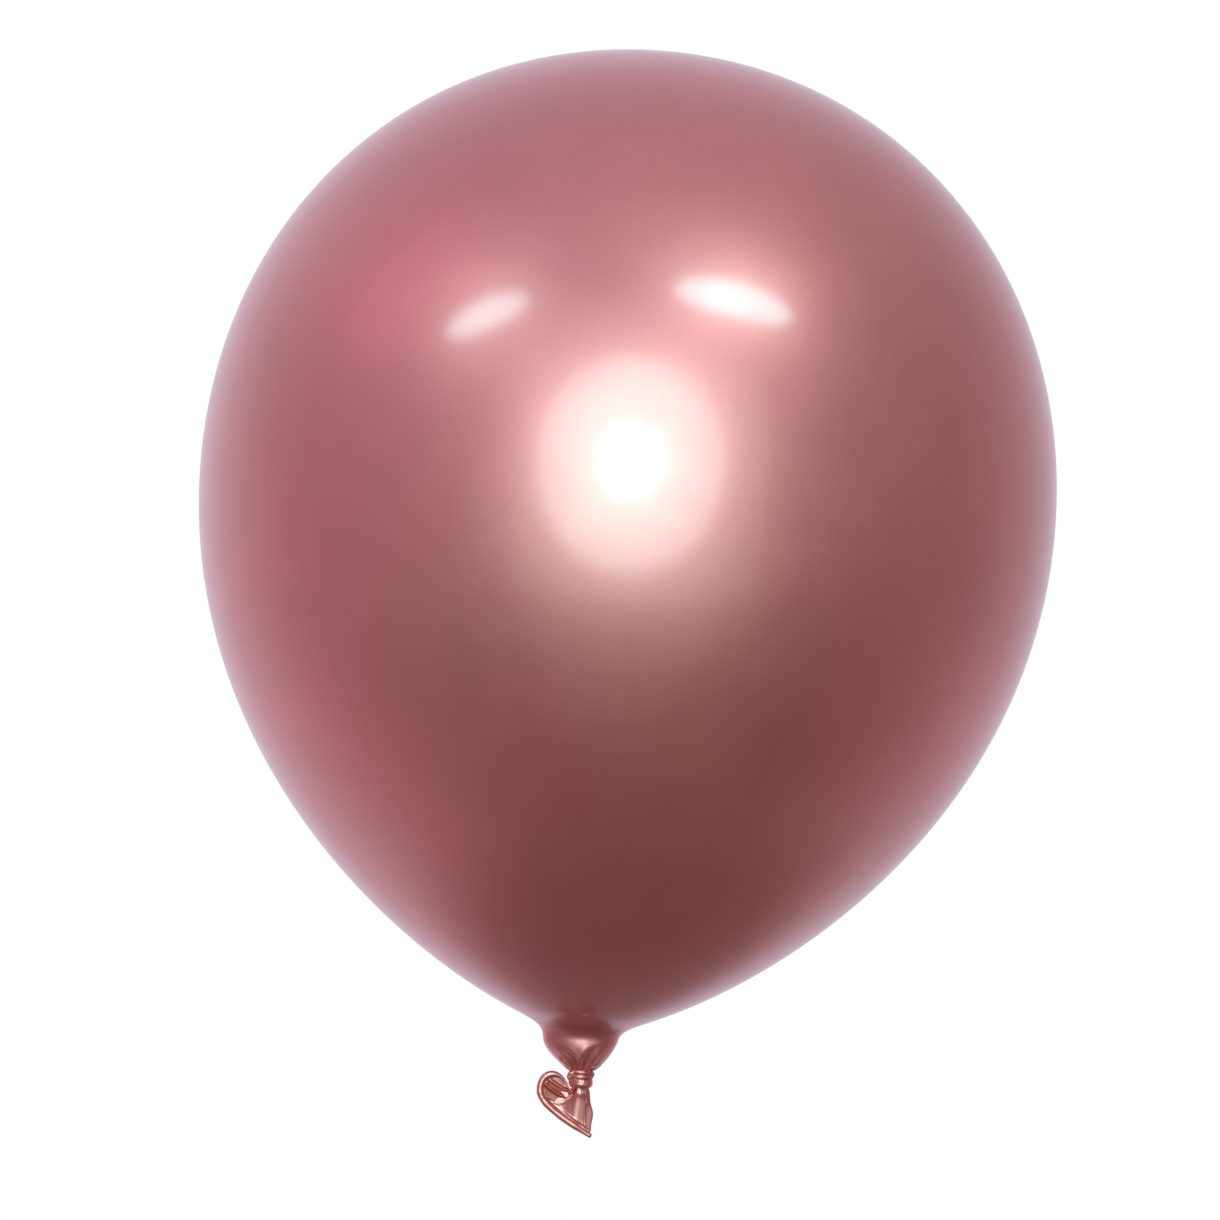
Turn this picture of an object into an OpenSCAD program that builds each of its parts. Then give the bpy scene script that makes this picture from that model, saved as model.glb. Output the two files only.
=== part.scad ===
// Round latex balloon, inflated and closed with a hand-tied knot.
// Frame: the origin is the pinch where the neck goes into the knot. +Z runs up the balloon's axis
// to its crown, and the flattened nozzle fans out below the knot, towards -X. Sizes are in mm.

/* [Bubble] */
// Widest diameter of the inflated bubble
bubble_d = 300; // [280:1:310]
// Height of the crown above the pinch
crown_z = 357.8; // [346:0.2:370]
// Height of the widest point
equator_z = 201.5; // [195:0.5:208]
// Roundness of the flank above the widest point
flank_pull = 0.574; // [0.5:0.001:0.6]
// Roundness of the crown
crown_pull = 0.567; // [0.5:0.001:0.62]
// Radius of the shoulder, where the bubble runs into the collar
shoulder_r = 29.5; // [27:0.5:33]
// Height of the shoulder
shoulder_z = 21.5; // [20:0.5:23]
// Angle between the wall and the axis at the shoulder
shoulder_angle = 65; // [60:1:70]
// Length of the straight pull out of the shoulder
shoulder_pull = 60; // [55:1:68]
// Thickness of the bubble wall, thicker than stretched latex so that it is a sound solid
wall = 0.5; // [0.45:0.05:0.8]

/* [Collar] */
// Radius of the neck just above the pleats
neck_r = 12.9; // [11.5:0.1:14]
// Height where the neck turns in towards the knot
neck_z = 9; // [8:0.1:10]
// Radius of the flat underside that faces the knot
collar_foot_r = 6.7; // [6:0.1:7.5]
// Height of that underside
collar_foot_z = 1.7; // [1.6:0.1:2]
// Height of the floor inside, where the gathered pleats close the gas space
collar_floor_z = 4.6; // [4.4:0.1:5]

/* [Necks] */
// Height of the point that the bubble leans and twists about
neck_pivot_z = 1; // [0.9:0.05:1.1]
// Radius of the gathered neck between the collar and the knot
neck_ball_r = 2.5; // [2.2:0.05:2.6]
// Height of the point that the tail flaps and twists about
tail_pivot_z = -7.9; // [-8:0.05:-7.8]
// Radius of the gathered throat between the knot and the tail
throat_ball_r = 1.9; // [1.6:0.05:1.95]
// Gap round both gathered necks
socket_gap = 0.2; // [0.15:0.01:0.25]

/* [Knot] */
// Radius of the bunched core
core_r = 2.2; // [2:0.05:2.4]
// Height of the underside of the core
core_base_z = -7; // [-7.2:0.05:-6.9]
// Radius of the circle that both turns run round
turn_path_r = 2.9; // [2.8:0.05:3]
// Thickness of the upper turn
upper_turn_d = 3; // [2.8:0.05:3.05]
// Height of the upper turn
upper_turn_z = -1.95; // [-2:0.01:-1.95]
// Thickness of the lower turn
lower_turn_d = 3.4; // [3:0.05:3.45]
// Height of the lower turn
lower_turn_z = -5.2; // [-5.25:0.01:-5.2]
// Slant of both turns
turn_slant = 4; // [0:0.5:5]
// Thickness of the strands that cross over the turns
strand_d = 2; // [1.6:0.1:2.2]
// Distance of those strands from the axis
strand_path_r = 4.2; // [4:0.05:4.3]

/* [Tail] */
// Thickness of the rolled bead round the nozzle's mouth
bead_d = 2.2; // [1.8:0.05:2.3]
// Distance between the front and the back of the bead, centre to centre
mouth_gap = 2.4; // [2.35:0.05:2.6]
// Thickness of each wall of the flattened nozzle
tail_wall = 0.6; // [0.4:0.05:0.8]

/* [Hidden] */

skin_color = [0.72, 0.45, 0.47];
collar_color = [0.66, 0.38, 0.37];
knot_color = [0.78, 0.5, 0.46];
tail_color = [0.75, 0.46, 0.43];

round_fn = 180;
small_fn = 64;
bubble_steps = 34;
collar_steps = 14;
edge_steps = 12;
bead_steps = 15;
bead_cap_steps = 4;
bead_sides = 8;
fit_gap = 0.03;

bubble_r = bubble_d / 2;
crown_h = crown_z - equator_z;
bead_r = bead_d / 2;
bead_y = mouth_gap / 2;

// ---- curves -------------------------------------------------------------------------------

// Point, and direction of travel, on a cubic curve with the control points c
function curve(c, t) = pow(1 - t, 3) * c[0] + 3 * pow(1 - t, 2) * t * c[1]
    + 3 * (1 - t) * t * t * c[2] + pow(t, 3) * c[3];
function unit(v) = v / norm(v);
function heading(c, t) = unit(pow(1 - t, 2) * (c[1] - c[0]) + 2 * (1 - t) * t * (c[2] - c[1])
    + t * t * (c[3] - c[2]));
function left_of(v) = [-v[1], v[0]];
// The curve as points, moved sideways to the left of its travel by side
function run(c, steps, side = 0) =
    [for (i = [0 : steps]) curve(c, i / steps) + side * left_of(heading(c, i / steps))];
function backwards(list) = [for (i = [len(list) - 1 : -1 : 0]) list[i]];

// ---- bubble outline, from the crown down to the shoulder ----------------------------------

shoulder_heading = [sin(shoulder_angle), cos(shoulder_angle)];
shoulder = [shoulder_r, shoulder_z];
crown_curve = [[0, crown_z], [crown_pull * bubble_r, crown_z],
    [bubble_r, equator_z + flank_pull * crown_h], [bubble_r, equator_z]];
lower_knee = shoulder + shoulder_pull * shoulder_heading;
// Keeps the same curvature just above and just below the widest point
belly_pull = flank_pull * crown_h
    * sqrt((bubble_r - lower_knee[0]) / (bubble_r - crown_pull * bubble_r));
belly_curve = [[bubble_r, equator_z], [bubble_r, equator_z - belly_pull], lower_knee, shoulder];

// ---- collar outline, from the shoulder down to the flat foot ------------------------------

flare_pull = 13;
flare_curve = [shoulder, shoulder - flare_pull * shoulder_heading, [neck_r, neck_z + 6],
    [neck_r, neck_z]];
pleat_curve = [[neck_r, neck_z], [neck_r, neck_z - 2.4], [neck_r - 2.2, neck_z - 3.9],
    [collar_foot_r, collar_foot_z]];

// ---- tail outline -------------------------------------------------------------------------

// The mouth of the nozzle, along the middle of its bead: over the lobe, then down to the tip
lobe_curve = [[-7.4, -4.1], [-9.4, -2], [-13.3, -3], [-13.3, -7.8]];
lip_curve = [[-13.3, -7.8], [-13.3, -11.6], [-9.2, -15.2], [2.8, -21.8]];
lobe_end = lobe_curve[0];
tip_end = lip_curve[3];
mouth_in = bead_r + fit_gap;
root_left = [-2.6, -8.7];
root_right = [2.6, -8.7];

lobe_foot = lobe_end + mouth_in * left_of(heading(lobe_curve, 0));
tip_foot = tip_end + mouth_in * left_of(heading(lip_curve, 1));
fold_right = [tip_foot, tip_foot + [2.6, 4.6], [7.6, -12.8], root_right];
fold_left = [root_left, [-5.6, -9.4], [-6.4, -6.4], lobe_foot];

function mouth_point(t) = t < 0.5 ? curve(lobe_curve, 2 * t) : curve(lip_curve, 2 * t - 1);
function mouth_heading(t) = t < 0.5 ? heading(lobe_curve, 2 * t) : heading(lip_curve, 2 * t - 1);

// One station of the bead's closed path: [place along the outline, side step, depth]
bead_path = concat(
    [for (i = [0 : bead_steps]) [i / bead_steps, 0, -bead_y]],
    [for (i = [1 : bead_cap_steps - 1]) let (a = 180 * i / bead_cap_steps)
        [1, bead_y * sin(a), -bead_y * cos(a)]],
    [for (i = [bead_steps : -1 : 0]) [i / bead_steps, 0, bead_y]],
    [for (i = [1 : bead_cap_steps - 1]) let (a = 180 * i / bead_cap_steps)
        [0, -bead_y * sin(a), bead_y * cos(a)]]);
bead_rings = len(bead_path);

function upright(p, y) = [p[0], y, p[1]];
function bead_place(i) = let (s = bead_path[i % bead_rings])
    upright(mouth_point(s[0]) + s[1] * mouth_heading(s[0]), s[2]);
function bead_across(i) = upright(left_of(mouth_heading(bead_path[i % bead_rings][0])), 0);
function bead_along(i) = unit(bead_place(i + 1) - bead_place(i + bead_rings - 1));

// ---- shared solids ------------------------------------------------------------------------

module ball(z, r) {
    translate([0, 0, z]) sphere(r = r, $fn = small_fn);
}

module turn(z, d) {
    translate([0, 0, z]) rotate([turn_slant, 0, 0])
        rotate_extrude($fn = small_fn) translate([turn_path_r, 0]) circle(d = d, $fn = 40);
}

module core_column(r) {
    translate([0, 0, core_base_z]) cylinder(r = r, h = -core_base_z, $fn = small_fn);
}

module sockets() {
    ball(neck_pivot_z, neck_ball_r + socket_gap);
    ball(tail_pivot_z, throat_ball_r + socket_gap);
}

// A strand that stands against the outside of both turns, at an angle round the axis
module strand(angle, top_z, base_z) {
    rotate([0, 0, angle]) translate([strand_path_r, 0, 0]) {
        translate([0, 0, base_z]) cylinder(d = strand_d, h = top_z - base_z, $fn = 32);
        translate([0, 0, base_z]) sphere(d = strand_d, $fn = 32);
        translate([0, 0, top_z]) sphere(d = strand_d, $fn = 32);
    }
}

module strand_over_turns(angle, top_z, base_z) {
    difference() {
        strand(angle, top_z, base_z);
        turn(upper_turn_z, upper_turn_d + 2 * fit_gap);
        turn(lower_turn_z, lower_turn_d + 2 * fit_gap);
    }
}

// One wall of the flattened nozzle, on the side of the bead that y gives
module nozzle_wall(y) {
    difference() {
        translate([0, y + tail_wall / 2, 0]) rotate([90, 0, 0]) linear_extrude(tail_wall)
            polygon(concat(
                run(lobe_curve, edge_steps, mouth_in),
                run(lip_curve, edge_steps, mouth_in),
                run(fold_right, edge_steps),
                run(fold_left, edge_steps)));
        ball(tail_pivot_z, throat_ball_r + socket_gap);
    }
}

// ---- pieces -------------------------------------------------------------------------------

module envelope_skin() {
    color(skin_color) rotate_extrude($fn = round_fn) polygon(concat(
        run(crown_curve, bubble_steps),
        run(belly_curve, bubble_steps),
        backwards(run(belly_curve, bubble_steps, -wall)),
        backwards(run(crown_curve, bubble_steps, -wall))));
}

module neck_collar() {
    color(collar_color) difference() {
        rotate_extrude($fn = round_fn) polygon(concat(
            run(flare_curve, collar_steps),
            run(pleat_curve, collar_steps),
            [[0, collar_foot_z], [0, collar_floor_z], [collar_foot_r - 1, collar_floor_z]],
            backwards(run(flare_curve, collar_steps, -wall))));
        ball(neck_pivot_z, neck_ball_r + socket_gap);
    }
}

module gathered_neck() {
    color(knot_color) ball(neck_pivot_z, neck_ball_r);
}

module knot_core() {
    color(collar_color) difference() {
        core_column(core_r);
        sockets();
    }
}

module knot_upper_turn() {
    color(knot_color) difference() {
        turn(upper_turn_z, upper_turn_d);
        core_column(core_r + fit_gap);
        sockets();
    }
}

module knot_lower_turn() {
    color(knot_color) difference() {
        turn(lower_turn_z, lower_turn_d);
        core_column(core_r + fit_gap);
        sockets();
    }
}

module knot_crossing() {
    color(knot_color) strand_over_turns(165, -2.6, -5);
}

module knot_tuck() {
    color(knot_color) strand_over_turns(-15, -2.4, -3.6);
}

module tail_throat() {
    color(knot_color) ball(tail_pivot_z, throat_ball_r);
}

module tail_front_wall() {
    color(tail_color) nozzle_wall(-bead_y);
}

module tail_back_wall() {
    color(tail_color) nozzle_wall(bead_y);
}

module rolled_bead() {
    points = [for (i = [0 : bead_rings - 1]) for (k = [0 : bead_sides - 1])
        let (a = 360 * k / bead_sides)
        bead_place(i) + bead_r * (cos(a) * bead_across(i) + sin(a) * cross(bead_along(i), bead_across(i)))];
    faces = [for (i = [0 : bead_rings - 1]) for (k = [0 : bead_sides - 1])
        let (j = (i + 1) % bead_rings, m = (k + 1) % bead_sides)
        each [[i * bead_sides + k, i * bead_sides + m, j * bead_sides + m],
            [i * bead_sides + k, j * bead_sides + m, j * bead_sides + k]]];
    color(knot_color) polyhedron(points, faces);
}

envelope_skin();
neck_collar();
gathered_neck();
knot_core();
knot_upper_turn();
knot_lower_turn();
knot_crossing();
knot_tuck();
tail_throat();
tail_front_wall();
tail_back_wall();
rolled_bead();
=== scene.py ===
"""An inflated chrome latex balloon, closed with a hand-tied knot, on a plain white background."""
import math

import bmesh
import bpy
import numpy as np
from mathutils import Matrix, Vector


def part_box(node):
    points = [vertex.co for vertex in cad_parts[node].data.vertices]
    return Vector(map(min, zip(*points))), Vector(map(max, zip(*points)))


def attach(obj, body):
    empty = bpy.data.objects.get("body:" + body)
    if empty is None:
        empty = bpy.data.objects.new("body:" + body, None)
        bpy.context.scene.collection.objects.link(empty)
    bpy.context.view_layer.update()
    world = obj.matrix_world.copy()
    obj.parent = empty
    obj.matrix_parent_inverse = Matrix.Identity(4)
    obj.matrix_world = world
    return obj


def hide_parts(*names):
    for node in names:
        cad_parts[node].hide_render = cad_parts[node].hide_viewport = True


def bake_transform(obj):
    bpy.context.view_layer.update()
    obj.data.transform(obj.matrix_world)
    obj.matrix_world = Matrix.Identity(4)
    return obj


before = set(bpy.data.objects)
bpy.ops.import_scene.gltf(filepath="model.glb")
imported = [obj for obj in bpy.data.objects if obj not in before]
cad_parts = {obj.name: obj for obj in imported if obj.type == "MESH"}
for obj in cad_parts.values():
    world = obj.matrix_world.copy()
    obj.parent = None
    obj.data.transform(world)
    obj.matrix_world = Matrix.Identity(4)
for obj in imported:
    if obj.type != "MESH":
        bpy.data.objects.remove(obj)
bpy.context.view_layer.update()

MM = 0.001

# ---- sizes from the frame, in millimetres --------------------------------------------------

skin_low, skin_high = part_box("envelope_skin")
collar_low, collar_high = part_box("neck_collar")
bubble_r = (skin_high[0] - skin_low[0]) / 2 / MM
crown_z = skin_high[2] / MM
shoulder_z = skin_low[2] / MM
shoulder_r = (collar_high[0] - collar_low[0]) / 2 / MM

# What the boxes don't say: the height of the widest ring, how long the flank's and the crown's
# curves keep their first direction, and the skin's slope and pull at the shoulder
equator_z = 201.5
flank_pull, crown_pull = 0.574, 0.567
shoulder_angle, shoulder_pull = math.radians(65), 60

# The knot's radius, and how far it sits to the right of the axis
KNOT_R, KNOT_X = 4.3, 0.55

# The tail's root, as its middle in the XZ plane and its half width, and the lip's bead, as its
# radius and the distance of its front and back from the XZ plane
ROOT, ROOT_HALF = (1.2, -5.3), 2.2
BEAD_R, BEAD_GAP = 1.1, 0.85

# The tail's curves in the XZ plane: the bead over the lobe and from there down to the tip, the
# bead's share of length on the lobe, the scoop's edge, the crease down the right side, and the line
# along which the cone stands out most
LOBE_CURVE = [(-3.7, -6.5), (-6.6, 0.1), (-13.4, -1.4), (-13.3, -7.6)]
LIP_CURVE = [(-13.3, -7.6), (-13.3, -11.6), (-9.2, -15.0), (5.2, -22.5)]
LOBE_SHARE = 0.34
SCOOP = [(-0.5, -6.0), (-1.6, -10.4), (-5.0, -13.2), (-10.8, -10.8)]
CREASE = [(1.2, -6.6), (2.9, -10.0), (1.9, -14.0), (3.4, -20.0)]
CONE_TOP = [(0.2, -6.5), (0.1, -11.0), (-0.4, -14.0), (-0.6, -19.0)]


# ---- curves and meshes ---------------------------------------------------------------------

def curve(c, t):
    """Points on a cubic curve with the control points c, one row for each value in t."""
    c, t = np.asarray(c, float), np.asarray(t, float)[..., None]
    return ((1 - t) ** 3 * c[0] + 3 * (1 - t) ** 2 * t * c[1]
            + 3 * (1 - t) * t * t * c[2] + t ** 3 * c[3])


def smooth(x, low, high):
    """0 below low, 1 above high, and an even S between them."""
    t = np.clip((x - low) / (high - low), 0, 1)
    return t * t * (3 - 2 * t)


def bump(x, middle, width):
    """1 at the middle, fading to 0 within about twice the width on both sides."""
    return np.exp(-((x - middle) / width) ** 2)


def ring_faces(rows, columns, loop=False):
    """Quads between rows of points that each close on themselves."""
    faces = []
    for i in range(rows if loop else rows - 1):
        for j in range(columns):
            a, b = i * columns, (i + 1) % rows * columns
            k = (j + 1) % columns
            faces.append((a + j, a + k, b + k, b + j))
    return faces


def add_piece(name, points, faces, material):
    """A smooth mesh piece from points in millimetres, with its faces turned outward."""
    mesh = bpy.data.meshes.new(name)
    mesh.from_pydata((np.asarray(points).reshape(-1, 3) * MM).tolist(), [], faces)
    solid = bmesh.new()
    solid.from_mesh(mesh)
    bmesh.ops.recalc_face_normals(solid, faces=solid.faces)
    solid.to_mesh(mesh)
    solid.free()
    mesh.polygons.foreach_set("use_smooth", [True] * len(mesh.polygons))
    mesh.materials.append(material)
    mesh.update()
    piece = bpy.data.objects.new(name, mesh)
    bpy.context.scene.collection.objects.link(piece)
    return piece


def closed_rings(rings, flat_end=False):
    """Points and faces of stacked rings, closed by one point at each end.

    A flat end is a pressed-together ring instead, closed by a strip from its front to its back."""
    rings = np.asarray(rings, float)
    rows, columns = rings.shape[:2]
    last = (rows - 1) * columns
    faces = ring_faces(rows, columns)
    points = np.vstack([rings.reshape(-1, 3), rings[0].mean(0)])
    faces += [(rows * columns, (j + 1) % columns, j) for j in range(columns)]
    if flat_end:
        for j in range(columns // 2):
            strip = [j, j + 1, columns - j - 1, (columns - j) % columns]
            faces.append(tuple(last + k for k in dict.fromkeys(strip)))
    else:
        points = np.vstack([points, rings[-1].mean(0)])
        faces += [(rows * columns + 1, last + j, last + (j + 1) % columns) for j in range(columns)]
    return points, faces


# ---- shader nodes --------------------------------------------------------------------------

def map_range(tree, value, from_range, to_range, kind="LINEAR"):
    """A value carried from one range to another, and held at its ends."""
    node = tree.nodes.new("ShaderNodeMapRange")
    node.interpolation_type = kind
    for socket, number in zip(("From Min", "From Max", "To Min", "To Max"), (*from_range, *to_range)):
        node.inputs[socket].default_value = number
    tree.links.new(value, node.inputs["Value"])
    return node.outputs[0]


def mix_colors(tree, mode, factor, a, b):
    """Two colours blended; each of factor, a and b is a plain value or another node's output."""
    node = tree.nodes.new("ShaderNodeMix")
    node.data_type, node.blend_type = "RGBA", mode
    for socket, value in (("Factor", factor), ("A", a), ("B", b)):
        if isinstance(value, bpy.types.NodeSocket):
            tree.links.new(value, node.inputs[socket])
        else:
            node.inputs[socket].default_value = (*value, 1) if isinstance(value, tuple) else value
    return node.outputs["Result"]


# ---- camera --------------------------------------------------------------------------------

def make_camera():
    """A long lens, level with the balloon and rolled, so that the crown leans to the right.

    bubble_share is how much of the picture's width the bubble takes."""
    distance = 3.0
    bubble_share = 0.702
    roll = math.radians(4.78)
    aim = Vector((-2.9, 0, 161.4)) * MM
    data = bpy.data.cameras.new("camera")
    data.sensor_width = 36
    data.lens = data.sensor_width * distance / (2 * bubble_r * MM / bubble_share)
    camera = bpy.data.objects.new("camera", data)
    bpy.context.scene.collection.objects.link(camera)
    camera.location = aim + Vector((0, -distance, 0))
    camera.rotation_euler = (math.pi / 2, -roll, 0)
    bpy.context.scene.camera = camera
    bpy.context.scene.view_settings.view_transform = "Standard"


# ---- light ---------------------------------------------------------------------------------

def lamp(name, start, end, size, power, color, shape="RECTANGLE"):
    """An area light that faces the bubble's middle, with its long side along start to end.

    start and end are directions from the bubble's middle, and size is (across, along)."""
    distance = 1.5
    start, end = Vector(start).normalized(), Vector(end).normalized()
    data = bpy.data.lights.new(name, "AREA")
    data.shape = shape
    data.size, data.size_y = size
    data.energy, data.color = power, color
    light = bpy.data.objects.new(name, data)
    bpy.context.scene.collection.objects.link(light)
    away = (start + end).normalized()
    along = (end - start).normalized()
    light.location = Vector((0, 0, equator_z * MM)) + away * distance
    light.rotation_euler = Matrix((along.cross(away), along, away)).transposed().to_euler()
    light.visible_camera = False


def make_world():
    """White for the camera; for reflections a room that is dark below and bright behind."""
    world = bpy.data.worlds.new("studio")
    bpy.context.scene.world = world
    world.use_nodes = True
    tree = world.node_tree
    nodes, links = tree.nodes, tree.links
    nodes.clear()
    place = nodes.new("ShaderNodeTexCoord")

    def toward(direction):
        """How far a ray points in a direction, times the direction's length."""
        node = nodes.new("ShaderNodeVectorMath")
        node.operation = "DOT_PRODUCT"
        links.new(place.outputs["Generated"], node.inputs[0])
        node.inputs[1].default_value = direction
        return node.outputs["Value"]

    up_to_the_left, rightward, right_and_down = (-0.3, 0, 1), (1, 0, 0), (1, 0, -0.4)
    away_and_down, dark_floor = (0, 1, -0.4), (0.1, 0.38, -0.92)

    # The room's colour, from low on the right (0) to high on the left (1)
    ramp = nodes.new("ShaderNodeValToRGB")
    links.new(map_range(tree, toward(up_to_the_left), (-1.05, 1.05), (0, 1)), ramp.inputs[0])
    stops = [(0.0, (0.16, 0.11, 0.11)), (0.17, (0.25, 0.21, 0.21)), (0.38, (0.32, 0.31, 0.32)),
             (0.6, (0.40, 0.39, 0.41)), (0.79, (0.50, 0.50, 0.55)), (1.0, (0.58, 0.60, 0.67))]
    while len(ramp.color_ramp.elements) < len(stops):
        ramp.color_ramp.elements.new(0.5)
    for element, (at, color) in zip(ramp.color_ramp.elements, stops):
        element.position, element.color = at, (*color, 1)

    # The backdrop behind the balloon, which fades out toward the front and toward the dark floor
    left_to_right = map_range(tree, toward(rightward), (-1, 1), (0, 1))
    backdrop = mix_colors(tree, "MIX", left_to_right, (0.85, 0.79, 0.93), (0.60, 0.53, 0.61))
    behind = nodes.new("ShaderNodeMath")
    behind.operation = "MULTIPLY"
    far_side = map_range(tree, toward(away_and_down), (-0.1, 1), (0, 1), "SMOOTHSTEP")
    off_the_floor = map_range(tree, toward(dark_floor), (0.93, 0.75), (0.05, 1), "SMOOTHSTEP")
    links.new(far_side, behind.inputs[0])
    links.new(off_the_floor, behind.inputs[1])
    cool_to_warm = map_range(tree, toward(right_and_down), (-1, 1), (0, 1))
    tint = mix_colors(tree, "MIX", cool_to_warm, (1.06, 1.04, 1.22), (1.0, 0.96, 0.92))
    room = mix_colors(tree, "MULTIPLY", 1.0, ramp.outputs[0], tint)
    room = mix_colors(tree, "MIX", behind.outputs[0], room, backdrop)

    reflected = nodes.new("ShaderNodeBackground")
    links.new(room, reflected.inputs["Color"])
    seen = nodes.new("ShaderNodeBackground")
    seen.inputs["Color"].default_value = (1, 1, 1, 1)
    rays = nodes.new("ShaderNodeLightPath")
    mix = nodes.new("ShaderNodeMixShader")
    links.new(rays.outputs["Is Camera Ray"], mix.inputs[0])
    links.new(reflected.outputs[0], mix.inputs[1])
    links.new(seen.outputs[0], mix.inputs[2])
    out = nodes.new("ShaderNodeOutputWorld")
    links.new(mix.outputs[0], out.inputs["Surface"])


def make_lights():
    """A soft glow in three layers from the front, a slim strip high on each side and, on the left,
    a faint red wall.

    The other lights are cool, because the metal in the latex turns whatever it mirrors to rose."""
    ahead = (-0.15, -0.99, 0.12), (0.15, -0.99, 0.12)
    lamp("front_key", *ahead, (0.42, 0.42), 5.0, (0.42, 1, 0.97), "DISK")
    lamp("front_glow", *ahead, (1.3, 1.3), 18.5, (0.42, 1, 0.95), "DISK")
    lamp("front_softbox", (-0.5, -0.85, 0.05), (0.6, -0.8, 0.05), (1.5, 1.9), 6, (0.6, 1, 0.95))
    lamp("left_strip", (-0.738, -0.48, 0.475), (-0.44, -0.618, 0.655), (0.2, 0.54), 3, (0.5, 1, 1),
         "ELLIPSE")
    lamp("right_strip", (0.097, -0.665, 0.74), (0.583, -0.51, 0.635), (0.24, 0.74), 6, (0.5, 1, 1),
         "ELLIPSE")
    lamp("left_wall", (-0.9, -0.1, 0.3), (-0.6, -0.2, 0.8), (0.5, 0.7), 0.5, (1, 0.35, 0.55))


# ---- material ------------------------------------------------------------------------------

def latex(name, top, low, roughness, coat, coat_roughness, creases=0.0):
    """Chrome latex: metal flake under a clear skin, darker and browner toward the bottom: partly
    the thicker, less stretched latex there, partly painted shade of the dark room it mirrors.

    top and low are the colours at the top and at the bottom. low is darker partly for the thick
    latex by the knot and partly as painted shade. creases is the strength of its fine wrinkles."""
    stretch_shade_from, stretch_shade_to = 0.0, 0.25
    warm_share = (0.98, 1.12, 0.92)
    cloud, fleck = 0.06, 0.04
    material = bpy.data.materials.new(name)
    material.use_nodes = True
    tree = material.node_tree
    nodes, links = tree.nodes, tree.links
    shader = nodes["Principled BSDF"]
    shader.inputs["Metallic"].default_value = 0.92
    shader.inputs["Coat Weight"].default_value = coat
    shader.inputs["Coat Roughness"].default_value = coat_roughness
    shader.inputs["Coat IOR"].default_value = 1.5
    shader.inputs["Sheen Weight"].default_value = 0.05
    shader.inputs["Sheen Roughness"].default_value = 0.35
    shader.inputs["Sheen Tint"].default_value = (0.85, 0.62, 0.82, 1)

    place = nodes.new("ShaderNodeTexCoord")
    split = nodes.new("ShaderNodeSeparateXYZ")
    links.new(place.outputs["Object"], split.inputs[0])

    def noise_at(scale, detail, rough=0.5):
        texture = nodes.new("ShaderNodeTexNoise")
        texture.inputs["Scale"].default_value = scale
        texture.inputs["Detail"].default_value = detail
        texture.inputs["Roughness"].default_value = rough
        links.new(place.outputs["Object"], texture.inputs["Vector"])
        return texture.outputs["Fac"]

    def grey(value):
        """A colour with the value in all three channels."""
        node = nodes.new("ShaderNodeCombineColor")
        for socket in node.inputs:
            links.new(value, socket)
        return node.outputs[0]

    # Darker and browner toward the bottom: partly the thicker latex by the knot, partly painted shade
    stretch_and_shade = map_range(tree, split.outputs["Z"], (stretch_shade_from, stretch_shade_to), (0, 1))
    tone = mix_colors(tree, "MIX", stretch_and_shade, low, top)
    warm = tuple(channel * share for channel, share in zip(top, warm_share))
    patches = map_range(tree, noise_at(scale=11, detail=2), (0.45, 0.7), (0, 0.45))
    tone = mix_colors(tree, "MIX", patches, tone, warm)
    clouds = map_range(tree, noise_at(scale=14, detail=3), (0.3, 0.7), (1 - cloud, 1 + cloud))
    tone = mix_colors(tree, "MULTIPLY", 1.0, tone, grey(clouds))
    flecks = map_range(tree, noise_at(scale=2200, detail=1), (0.35, 0.65), (1 - fleck, 1 + fleck))
    tone = mix_colors(tree, "MULTIPLY", 1.0, tone, grey(flecks))
    links.new(tone, shader.inputs["Base Color"])
    uneven = noise_at(scale=60, detail=4, rough=0.6)
    rough = map_range(tree, uneven, (0.3, 0.7), (roughness - 0.02, roughness + 0.02))
    links.new(rough, shader.inputs["Roughness"])

    def bump_node(strength, distance, height):
        node = nodes.new("ShaderNodeBump")
        node.inputs["Strength"].default_value = strength
        node.inputs["Distance"].default_value = distance
        links.new(height, node.inputs["Height"])
        return node

    surface = bump_node(0.25, 0.02 * MM, noise_at(scale=900, detail=2))
    if creases:
        wrinkles = bump_node(creases, 0.15 * MM, noise_at(scale=420, detail=3, rough=0.55))
        links.new(surface.outputs[0], wrinkles.inputs["Normal"])
        surface = wrinkles
    links.new(surface.outputs[0], shader.inputs["Normal"])
    return material


# ---- bubble and collar ---------------------------------------------------------------------

def bubble_outline(rows):
    """The bubble's half outline from just below the crown's point to the shoulder."""
    crown_h = crown_z - equator_z
    heading = np.array([math.sin(shoulder_angle), math.cos(shoulder_angle)])
    shoulder = np.array([shoulder_r, shoulder_z])
    knee = shoulder + shoulder_pull * heading
    belly_pull = flank_pull * crown_h * math.sqrt(
        (bubble_r - knee[0]) / (bubble_r - crown_pull * bubble_r))
    crown = curve([(0, crown_z), (crown_pull * bubble_r, crown_z),
                   (bubble_r, equator_z + flank_pull * crown_h), (bubble_r, equator_z)],
                  np.linspace(0.01, 1, rows))
    belly = curve([(bubble_r, equator_z), (bubble_r, equator_z - belly_pull), knee, shoulder],
                  np.linspace(0, 1, rows)[1:])
    return np.vstack([crown, belly])


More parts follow.
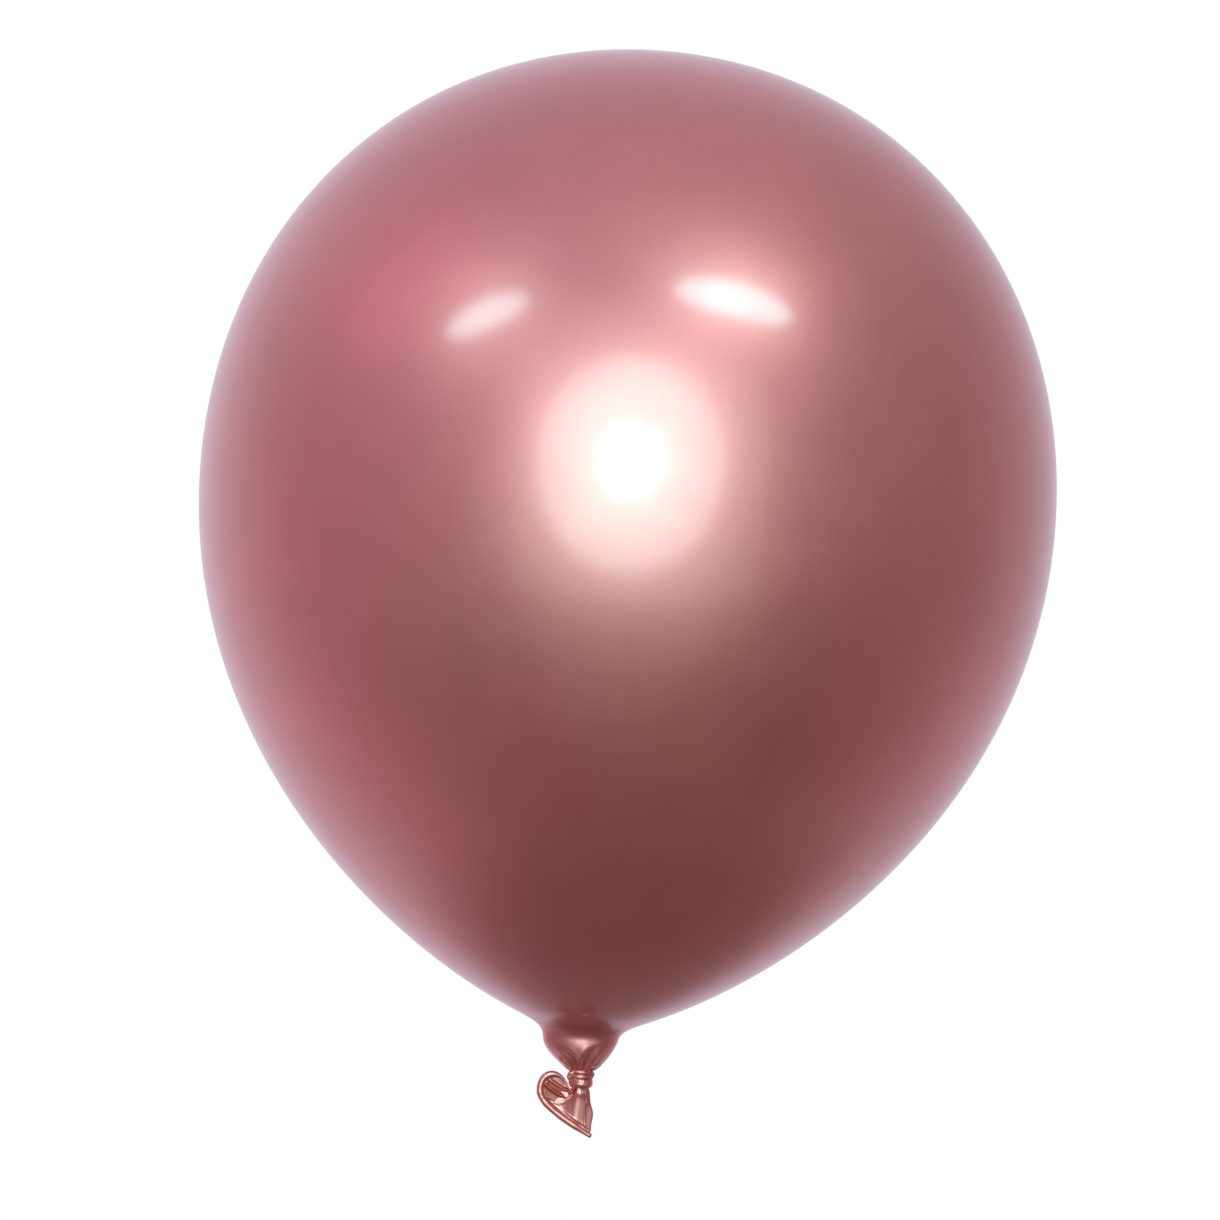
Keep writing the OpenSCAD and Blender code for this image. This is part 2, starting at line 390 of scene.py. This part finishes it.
def collar_outline(neck, neck_way, hip, pinch, rows):
    """The neck's half outline on one side: flare, then over the hip and in to the pinch.

    neck_way is the wall's direction and pull where the flare ends. The last part is inside the
    knot and can't be seen."""
    flare_pull, skirt_pull = 13, 0.65
    heading = np.array([math.sin(shoulder_angle), math.cos(shoulder_angle)])
    shoulder = np.array([shoulder_r, shoulder_z])
    neck, neck_way, hip, pinch = (np.asarray(p, float) for p in (neck, neck_way, hip, pinch))
    flare = curve([shoulder, shoulder - flare_pull * heading, neck + neck_way, neck],
                  np.linspace(0, 1, rows)[1:])
    skirt = curve([neck, neck - skirt_pull * neck_way, hip, pinch], np.linspace(0, 1, rows)[1:])
    inside = curve([pinch, pinch + (-1.2, -0.7), (2.2, -1.2), (1.2, -1.5)],
                   np.linspace(0, 1, 9)[1:])
    return np.vstack([flare, skirt, inside])


def pleat_depth(azimuth, z):
    """How far the folds pull the skin in, as a share of its radius.

    Each crease is (azimuth where it starts, azimuth at the pinch, height of its start, depth,
    half width): two long ones form a V in front, and short ones gather the skin by the knot."""
    creases = [(-40, -12, 8.4, 0.26, 7), (-24, -2, 6.0, 0.12, 5), (27, 10, 9.6, 0.26, 7),
               (58, 48, 2.6, 0.16, 9), (-72, -60, 2.4, 0.16, 9), (96, 88, 2.2, 0.14, 9),
               (128, 122, 6.0, 0.18, 8), (163, 160, 8.5, 0.22, 8), (202, 205, 6.5, 0.18, 8),
               (238, 242, 7.5, 0.20, 8), (268, 272, 2.4, 0.14, 9)]
    depth = np.zeros(np.broadcast(azimuth, z).shape)
    for start, end, top, deep, half_width in creases:
        down = smooth(-z, -top, 0.3)
        middle = np.radians(start + (end - start) * np.sqrt(down))
        away = np.degrees(np.abs(np.angle(np.exp(1j * (azimuth - middle)))))
        fold = np.exp(-(away / half_width) ** 1.3) - 0.35 * bump(away, 2.2 * half_width, half_width)
        depth += deep * np.sqrt(down) * (0.5 + 0.5 * down) * fold
    return depth


def make_skin(material):
    """Bubble and collar as one skin.

    The collar has one outline on each side and a third in front and behind, mixed by azimuth."""
    columns, bubble_rows, collar_rows = 288, 96, 64
    azimuth = np.linspace(0, 2 * math.pi, columns, endpoint=False)
    bubble = bubble_outline(bubble_rows)
    left = collar_outline((13.9, 10.6), (0.6, 5.0), (11.5, 5.2), (4.2, -0.3), collar_rows)
    right = collar_outline((12.5, 11.2), (0.9, 4.2), (8.0, 1.5), (4.6, 0.1), collar_rows)
    front = collar_outline((11.0, 10.8), (0.2, 5.4), (10.9, 4.6), (4.3, -0.1), collar_rows)
    lean = ((1 + np.sin(azimuth)) / 2)[None, :, None]
    face = (np.cos(azimuth) ** 2)[None, :, None]
    collar = left[:, None] * (1 - lean) + right[:, None] * lean
    collar = collar * (1 - face) + front[:, None] * face
    radius = np.vstack([np.repeat(bubble[:, :1], columns, 1), collar[..., 0]])
    height = np.vstack([np.repeat(bubble[:, 1:], columns, 1), collar[..., 1]])
    inside = smooth(-height, -0.6, 0.6)
    radius = radius * (1 - pleat_depth(azimuth[None], height) * (1 - 0.8 * inside))
    rim = bump(height, 1.9, 0.8) * bump(azimuth[None], math.radians(42), 0.5)
    radius += 0.7 * rim * (1 - inside)
    rings = np.stack([radius * np.sin(azimuth), -radius * np.cos(azimuth), height], -1)
    points, faces = closed_rings(rings[::-1])
    skin = add_piece("balloon_skin", points, faces, material)
    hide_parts("envelope_skin", "neck_collar")
    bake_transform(skin)


# ---- knot ----------------------------------------------------------------------------------

def sweep(path, section, across, loop=False):
    """Rings of points round a path: section[i, k] is the (out, up) offset of point k on ring i.

    across gives each ring's outward direction; the third direction is square to it and the path."""
    path, across = np.asarray(path, float), np.asarray(across, float)
    along = np.roll(path, -1, 0) - np.roll(path, 1, 0) if loop else np.gradient(path, axis=0)
    along /= np.linalg.norm(along, axis=1, keepdims=True)
    across = across - (across * along).sum(1, keepdims=True) * along
    across /= np.linalg.norm(across, axis=1, keepdims=True)
    other = np.cross(along, across)
    return path[:, None] + section[..., :1] * across[:, None] + section[..., 1:] * other[:, None]


def circle_section(radius, angle):
    """Offsets for sweep from a radius at each ring and angle."""
    return np.stack([radius * np.cos(angle), radius * np.sin(angle)], -1)


def make_turn(name, node, height, band_r, band_gap, bulge, material):
    """One turn of the overhand knot: a slanted ring of latex, two bands wide.

    band_r is the radius of each band and band_gap how far its middle lies from the turn's own;
    bulge says how much thicker the turn is to the right of the front than behind."""
    steps, sides = 192, 80
    around = np.linspace(0, 2 * math.pi, steps, endpoint=False)
    side = np.linspace(0, 2 * math.pi, sides, endpoint=False)
    path_r = KNOT_R - band_r + 0.12 * np.cos(2 * around + height)
    slant = 0.30 * np.sin(around - 0.5) + 0.12 * np.sin(2 * around + 3 * height)
    path = np.stack([KNOT_X + path_r * np.cos(around), path_r * np.sin(around), height + slant], -1)
    outward = np.stack([np.cos(around), np.sin(around), np.zeros(steps)], -1)
    angle, turn = np.meshgrid(side, around)
    gap = band_gap * (1 + 0.3 * np.sin(turn + 2 * height))
    radius = gap * np.abs(np.sin(angle)) + np.sqrt(band_r ** 2 - (gap * np.cos(angle)) ** 2)
    radius *= 1 + bulge * np.cos(turn + 1.1) + 0.03 * np.sin(2 * turn + height)
    radius *= 1 + 0.010 * np.sin(17 * turn + 3 * angle) + 0.008 * np.sin(29 * turn - 2 * angle)
    rings = sweep(path, circle_section(radius, angle), outward, loop=True)
    turn_piece = add_piece(name, rings, ring_faces(steps, sides, loop=True), material)
    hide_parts(node)
    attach(turn_piece, "knot")


def make_strand(name, node, body, points, radii, material, ribs=5, rib_depth=0.06):
    """A short strand of bunched latex along a curve, ribbed lengthwise and round at its ends."""
    steps, sides = 72, 48
    at = np.linspace(0, 1, steps)
    path = curve(points, at)
    side = np.linspace(0, 2 * math.pi, sides, endpoint=False)
    angle, along = np.meshgrid(side, at)
    ends = np.sqrt(np.clip(1 - (2 * np.abs(at - 0.5)) ** 5, 0.0004, 1))
    thick = np.interp(at, np.linspace(0, 1, len(radii)), radii) * ends
    radius = thick[:, None] * (1 + rib_depth * np.cos(ribs * angle + 2.5 * along)
                               + 0.4 * rib_depth * np.cos((2 * ribs + 1) * angle - 3 * along))
    across = path - (KNOT_X, 0, 0)
    across[:, 2] = 0
    across += (0.01, 0, 0)
    rings = sweep(path, circle_section(radius, angle), across)
    points, faces = closed_rings(rings)
    strand = add_piece(name, points, faces, material)
    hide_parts(node)
    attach(strand, body)


# ---- tail: the flattened nozzle ------------------------------------------------------------

def mouth(s):
    """The middle of the lip's bead, from the lobe's end (0) round to the tip (1)."""
    s = np.asarray(s, float)[..., None]
    return np.where(s < LOBE_SHARE, curve(LOBE_CURVE, (s / LOBE_SHARE)[..., 0]),
                    curve(LIP_CURVE, ((s - LOBE_SHARE) / (1 - LOBE_SHARE))[..., 0]))


def signed_distance(x, z, control):
    """Distance from a curve, positive on its left, and the share of its length where it is nearest.

    The curve runs on straight past both ends."""
    line = curve(control, np.linspace(0, 1, 33))
    reach = 20
    first, last = line[0] - line[1], line[-1] - line[-2]
    line = np.vstack([line[0] + reach * first / np.linalg.norm(first), line,
                      line[-1] + reach * last / np.linalg.norm(last)])
    best = np.full(np.shape(x), np.inf)
    signed, share = np.zeros(np.shape(x)), np.zeros(np.shape(x))
    for i, (a, b) in enumerate(zip(line[:-1], line[1:])):
        way = b - a
        gap_x, gap_z = x - a[0], z - a[1]
        t = np.clip((gap_x * way[0] + gap_z * way[1]) / (way @ way), 0, 1)
        gap = np.hypot(gap_x - t * way[0], gap_z - t * way[1])
        side = np.where(way[0] * gap_z - way[1] * gap_x >= 0, 1.0, -1.0)
        nearer = gap < best
        best = np.where(nearer, gap, best)
        signed = np.where(nearer, side * gap, signed)
        share = np.where(nearer, (i - 1 + t) / 32, share)
    return signed, share


def ridge(x, z, control, width, height):
    """A rounded fold along a curve, fading at both ends."""
    away, share = signed_distance(x, z, control)
    return height * np.exp(-(away / width) ** 2) * smooth(share, 0, 0.2) * smooth(-share, -1, -0.8)


def front_relief(x, z):
    """How far the front of the nozzle stands forward: two pleats in the lobe's slanting hollow, the
    raised cone below the scoop, and the flap that falls away to the right of the crease."""
    scoop, _ = signed_distance(x, z, SCOOP)
    crease, _ = signed_distance(x, z, CREASE)
    crown, _ = signed_distance(x, z, CONE_TOP)
    below = smooth(scoop, -0.15, 0.25)
    cone = 0.25 + 2.2 * np.exp(-(crown / 3.4) ** 2) * smooth(-z, 4.5, 9)
    cone += 0.25 * bump(scoop, 0.6, 0.4)
    past = -crease
    flap = (-0.9 * smooth(past, -0.1, 0.5) - 0.3 * np.clip(past - 0.3, 0, 4)
            + 0.15 * bump(past, -0.35, 0.3))
    flap += ridge(x, z, [(2.2, -6.4), (3.3, -8.0), (3.6, -9.6), (3.4, -12.5)], 0.45, 0.6)
    pleats = (ridge(x, z, [(-12.6, -4.9), (-10.2, -7.3), (-7.4, -9.1), (-2.6, -10.6)], 0.55, 1.0)
              + ridge(x, z, [(-11.4, -3.3), (-8.6, -5.4), (-6.2, -6.7), (-1.4, -8.4)], 0.55, 0.9)
              - ridge(x, z, [(-11.9, -4.4), (-9.3, -6.4), (-6.8, -7.9), (-2.0, -9.6)], 0.45, 0.35))
    inward = np.clip(0.75 * (x + 12.0) - 0.65 * (z + 5.0), 0, 9)
    hollow = -0.21 * inward + pleats * smooth(-scoop, -0.1, 0.7)
    hook = ridge(x, z, [(-0.4, -5.6), (-1.2, -6.6), (-2.3, -7.9), (-3.9, -9.5)], 0.45, 0.9)
    return below * (cone + flap) + (1 - below) * (hollow + hook)


def back_relief(x, z):
    """The back's folds, which fan out from the throat."""
    turn = np.arctan2(x - 0.8, -(z + 4.0))
    reach = np.hypot(x - 0.8, z + 4.0)
    fan = 0.30 * np.cos(7 * turn + 0.8) + 0.18 * np.cos(15 * turn - 1.0 + 0.15 * reach)
    folds = (0.6 * bump(turn, -0.45, 0.16) - 0.5 * bump(turn, -0.85, 0.14)
             + 0.5 * bump(turn, 0.12, 0.1))
    return (fan + folds) * smooth(reach, 1.0, 4) * smooth(-reach, -17, -7)


def make_tail(material):
    """The nozzle as one flattened tube, from the throat to inside the lip's bead.

    share runs from the lobe's side (0) to the tip's side (1), and its right edge waves a little."""
    columns, rows = 320, 150
    around = np.linspace(0, 2 * math.pi, columns, endpoint=False)
    down = np.linspace(0, 1, rows)
    share = (1 - np.cos(around)) / 2
    root_turn = math.pi * (1 - share)
    root = np.stack([ROOT[0] + ROOT_HALF * np.cos(root_turn),
                     ROOT[1] - 0.3 * np.sin(root_turn)], -1)
    lip = mouth(share)
    lobe_side, tip_side = (1 - share) ** 3, share ** 4
    upper = root + (lip - root) / 3
    upper += np.outer(lobe_side, (-0.3, -1.2)) + np.outer(tip_side, (0.9, 1.0))
    lower = root + (lip - root) * 2 / 3
    lower += np.outer(lobe_side, (-0.2, -0.9)) + np.outer(tip_side, (2.2, -0.8))
    t = down[:, None, None]
    flat = ((1 - t) ** 3 * root + 3 * (1 - t) ** 2 * t * upper
            + 3 * (1 - t) * t * t * lower + t ** 3 * lip)
    x, z = flat[..., 0], flat[..., 1]
    wave = 0.30 * np.sin(down * 13 + 0.6) * np.sin(math.pi * down)
    x = x + wave[:, None] * share ** 10
    thick = 2.0 - 0.9 * smooth(down, 0.02, 0.4)
    half = thick[:, None] * np.abs(np.sin(around)) ** 0.7
    inner = np.abs(np.sin(around)) ** 1.2
    edge = down[:, None]
    fade = smooth(edge, 0.02, 0.26) * smooth(-edge, -1.0, -0.86)
    roll = 0.14 * bump(edge, 0.86, 0.025) - 0.10 * bump(edge, 0.91, 0.018)
    front = half + (front_relief(x, z) * fade + roll) * inner
    back = half + (back_relief(x, z) * fade + roll) * inner
    front = np.maximum(front, 0.5 * inner - back)
    y = np.where(around < math.pi, -front, np.maximum(back, 0.25 * inner))
    points, faces = closed_rings(np.stack([x, y, z], -1), flat_end=True)
    tail = add_piece("nozzle_walls", points, faces, material)
    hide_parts("tail_front_wall", "tail_back_wall")
    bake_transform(tail)


def make_bead(material):
    """The rolled lip: one closed loop, front and back, flattened, with the line of its roll."""
    run, cap, sides = 190, 20, 48
    at = np.linspace(0, 1, run)
    half_turn = np.linspace(0, math.pi, cap + 2)[1:-1]
    share = np.concatenate([at, np.ones(cap), at[::-1], np.zeros(cap)])
    taper = 0.3 + 0.7 * smooth(share, 0, 0.2) - 0.35 * smooth(share, 0.9, 1)
    gap = BEAD_GAP * taper
    step = np.concatenate([np.zeros(run), np.sin(half_turn), np.zeros(run), -np.sin(half_turn)])
    depth = np.concatenate([-np.ones(run), -np.cos(half_turn), np.ones(run), np.cos(half_turn)])
    nudge = 1e-4
    low, high = np.clip(share - nudge, 0, 1), np.clip(share + nudge, 0, 1)
    way = mouth(high) - mouth(low)
    way /= np.linalg.norm(way, axis=1, keepdims=True)
    flat = mouth(share) + (0.5 * gap * step)[:, None] * way
    path = np.stack([flat[:, 0], gap * depth, flat[:, 1]], -1)
    inward = np.stack([-way[:, 1], np.zeros(len(way)), way[:, 0]], -1)
    angle, where = np.meshgrid(np.linspace(0, 2 * math.pi, sides, endpoint=False),
                               np.linspace(0, 2 * math.pi, len(path), endpoint=False))
    radius = BEAD_R * taper[:, None] * (1 - 0.08 * bump(np.cos(angle - 0.9), 1, 0.06)
                                        - 0.08 * bump(np.cos(angle + 0.9), 1, 0.06)
                                        + 0.035 * np.sin(11 * where + 1) + 0.015 * np.sin(23 * where)
                                        + 0.006 * np.sin(61 * where + 2 * angle))
    section = np.stack([1.12 * radius * np.cos(angle), 0.82 * radius * np.sin(angle)], -1)
    rings = sweep(path, section, inward, loop=True)
    bead = add_piece("rolled_lip", rings, ring_faces(len(path), sides, loop=True), material)
    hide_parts("rolled_bead")
    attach(bead, "tail")


make_camera()
make_world()
make_lights()

# The second, bottom colour is darker partly for the thicker latex and partly as painted shade
skin_latex = latex("skin_latex", (0.64, 0.175, 0.17), (0.60, 0.14, 0.125), 0.42, 1.0, 0.15)
thick_rose = (0.62, 0.165, 0.15)
knot_latex = latex("knot_latex", thick_rose, thick_rose, 0.34, 0.5, 0.22, creases=0.12)
make_skin(skin_latex)
make_turn("upper_turn", "knot_upper_turn", -1.15, 0.85, 0.62, 0.04, knot_latex)
make_turn("lower_turn", "knot_lower_turn", -4.0, 1.45, 0.35, 0.10, knot_latex)
make_strand("crossing_strand", "knot_crossing", "knot",
            [(-0.9, -3.4, -0.4), (-3.4, -3.0, -0.9), (-3.9, -2.3, -2.6), (-2.1, -2.9, -4.4)],
            (0.7, 1.1, 1.1, 0.5), knot_latex)
make_strand("tucked_strand", "knot_tuck", "knot",
            [(2.6, -3.0, -0.5), (4.4, -2.2, 0.1), (4.9, -0.6, -0.9), (4.0, 0.9, -3.0)],
            (0.6, 0.75, 0.8, 0.6), knot_latex)
make_strand("neck_strand", "gathered_neck", "neck",
            [(0.2, 0, 2.6), (0.2, 0, 1.4), (0.3, 0, 0.0), (0.5, 0, -1.6)],
            (1.5, 1.6, 1.6, 1.4), knot_latex, ribs=8, rib_depth=0.08)
make_strand("throat_strand", "tail_throat", "throat",
            [(1.0, 0, -4.2), (1.1, 0, -4.8), (1.2, 0, -5.4), (1.2, 0, -6.2)],
            (1.1, 1.2, 1.1, 0.6), knot_latex, ribs=7, rib_depth=0.08)
make_strand("bunched_core", "knot_core", "knot",
            [(0.5, 0, -1.4), (0.5, 0, -2.4), (0.6, 0, -3.4), (0.6, 0, -4.6)],
            (1.7, 2.0, 1.9, 1.4), knot_latex, ribs=7, rib_depth=0.06)
make_tail(knot_latex)
make_bead(knot_latex)
